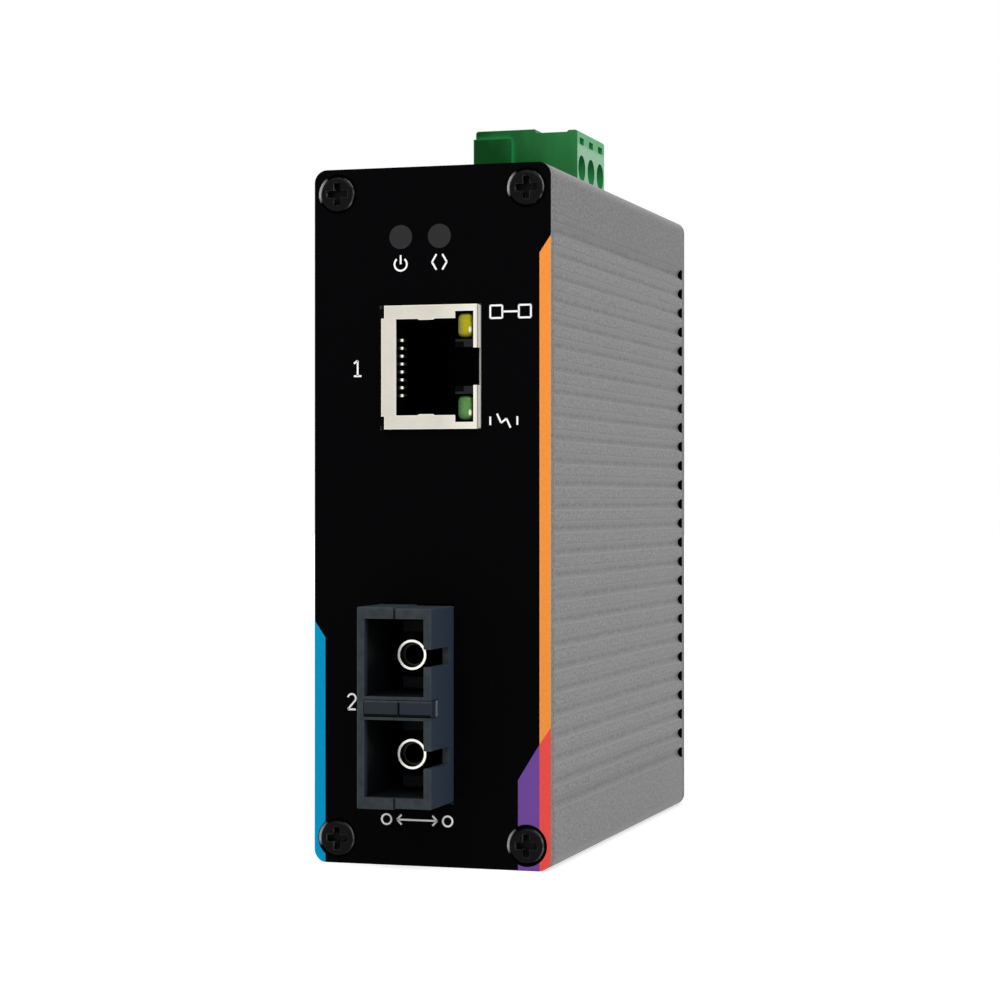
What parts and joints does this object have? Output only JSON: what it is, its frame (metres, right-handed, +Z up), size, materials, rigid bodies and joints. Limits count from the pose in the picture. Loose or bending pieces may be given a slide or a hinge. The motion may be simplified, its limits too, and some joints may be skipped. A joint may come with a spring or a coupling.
{
  "type": "fibre media converter",
  "caption": "Slim upright case with ribbed metal sleeve, copper jack, duplex fibre port, pluggable screw terminal on top and a sprung rail clip behind.",
  "frame": {"origin": "centre of the bottom rest face, midway between the front and rear plate faces", "axes": "+Z up, front plate towards -Y, +X to the right when looking at the front"},
  "size_m": [0.032, 0.0901, 0.1002],
  "materials": {
    "case_metal": "bead-blasted, satin grey anodised",
    "black_plate": "matt black powder coat",
    "black_screw": "black oxide",
    "ink_orange": "matt screen print",
    "ink_red": "matt screen print",
    "ink_purple": "matt screen print",
    "ink_blue": "matt screen print",
    "board": "green solder mask on glass laminate",
    "chip_black": "moulded epoxy",
    "tin": "tin plated",
    "ferrite": "sintered ferrite",
    "capacitor_can": "drawn aluminium can",
    "black_plastic": "moulded, matt black",
    "lamp_clear": "clear epoxy lamp",
    "lamp_window": "smoked translucent window",
    "shield_metal": "nickel plated sheet",
    "gold": "gold plated phosphor bronze",
    "lens_yellow": "tinted lamp lens",
    "lens_green": "tinted lamp lens",
    "port_plastic": "moulded, dark blue-grey",
    "barrel_metal": "turned stainless steel",
    "ceramic": "zirconia ceramic",
    "terminal_green": "moulded polyamide, green",
    "zinc_screw": "zinc plated steel",
    "bracket_metal": "black powder coat on die-cast metal",
    "latch_plastic": "moulded polyamide, black",
    "spring_steel": "spring wire"
  },
  "bodies": {
    "case": {"housing": "case_metal", "front_plate": "black_plate", "rear_plate": "black_plate", "front_screws": "black_screw", "rear_screws": "black_screw", "print_orange": "ink_orange", "print_red": "ink_red", "print_purple": "ink_purple", "print_blue": "ink_blue", "main_board": "board", "network_transformer": "chip_black", "controller_chip": "chip_black", "power_chip": "chip_black", "clock_crystal": "tin", "power_inductor": "ferrite", "capacitors": "capacitor_can", "lamp_holder": "black_plastic", "status_lamps": "lamp_clear", "lamp_windows": "lamp_window", "jack_shield": "shield_metal", "jack_insert": "black_plastic", "jack_contacts": "gold", "jack_lamp_yellow": "lens_yellow", "jack_lamp_green": "lens_green", "transceiver_base": "port_plastic", "transceiver_cover": "port_plastic", "middle_bar": "port_plastic", "latch_block": "port_plastic", "fibre_barrels": "barrel_metal", "ceramic_sleeves": "ceramic", "transceiver_pins": "tin", "terminal_header": "terminal_green", "header_pins": "tin", "rail_bracket": "bracket_metal", "latch_spring": "spring_steel", "bracket_screws": "black_screw"},
    "plug": {"plug_housing": "terminal_green", "plug_contacts": "tin"},
    "latch": {"rail_latch": "latch_plastic"},
    "screw_1": {"clamp_screw_1": "zinc_screw"},
    "cage_1": {"clamp_cage_1": "zinc_screw"},
    "screw_2": {"clamp_screw_2": "zinc_screw"},
    "cage_2": {"clamp_cage_2": "zinc_screw"},
    "screw_3": {"clamp_screw_3": "zinc_screw"},
    "cage_3": {"clamp_cage_3": "zinc_screw"}
  },
  "joints": [
    {"name": "plug_lift", "type": "slide", "parent": "case", "child": "plug", "axis": [0, 0, 1], "range_m": [0, 0.009]},
    {"name": "latch_slide", "type": "slide", "parent": "case", "child": "latch", "axis": [0, 0, -1], "range_m": [0, 0.004], "stiffness_N_per_m": 700, "springref_m": -0.003, "deforming": ["latch_spring"]},
    {"name": "clamp_screw_1_turn", "type": "hinge", "parent": "plug", "child": "screw_1", "pos_m": [0.006, 0.00502, 0.0946], "axis": [-1, 0, 0], "range_deg": [0, 1440]},
    {"name": "clamp_cage_1_rise", "type": "slide", "parent": "plug", "child": "cage_1", "axis": [1, 0, 0], "range_m": [0, 0.002]},
    {"name": "clamp_screw_2_turn", "type": "hinge", "parent": "plug", "child": "screw_2", "pos_m": [0.006, 0.0101, 0.0946], "axis": [-1, 0, 0], "range_deg": [0, 1440]},
    {"name": "clamp_cage_2_rise", "type": "slide", "parent": "plug", "child": "cage_2", "axis": [1, 0, 0], "range_m": [0, 0.002]},
    {"name": "clamp_screw_3_turn", "type": "hinge", "parent": "plug", "child": "screw_3", "pos_m": [0.006, 0.01518, 0.0946], "axis": [-1, 0, 0], "range_deg": [0, 1440]},
    {"name": "clamp_cage_3_rise", "type": "slide", "parent": "plug", "child": "cage_3", "axis": [1, 0, 0], "range_m": [0, 0.002]}
  ],
  "couplings": [
    {"joint": "clamp_screw_1_turn", "follows": "clamp_cage_1_rise", "rad_per_m": 12566},
    {"joint": "clamp_screw_2_turn", "follows": "clamp_cage_2_rise", "rad_per_m": 12566},
    {"joint": "clamp_screw_3_turn", "follows": "clamp_cage_3_rise", "rad_per_m": 12566}
  ]
}
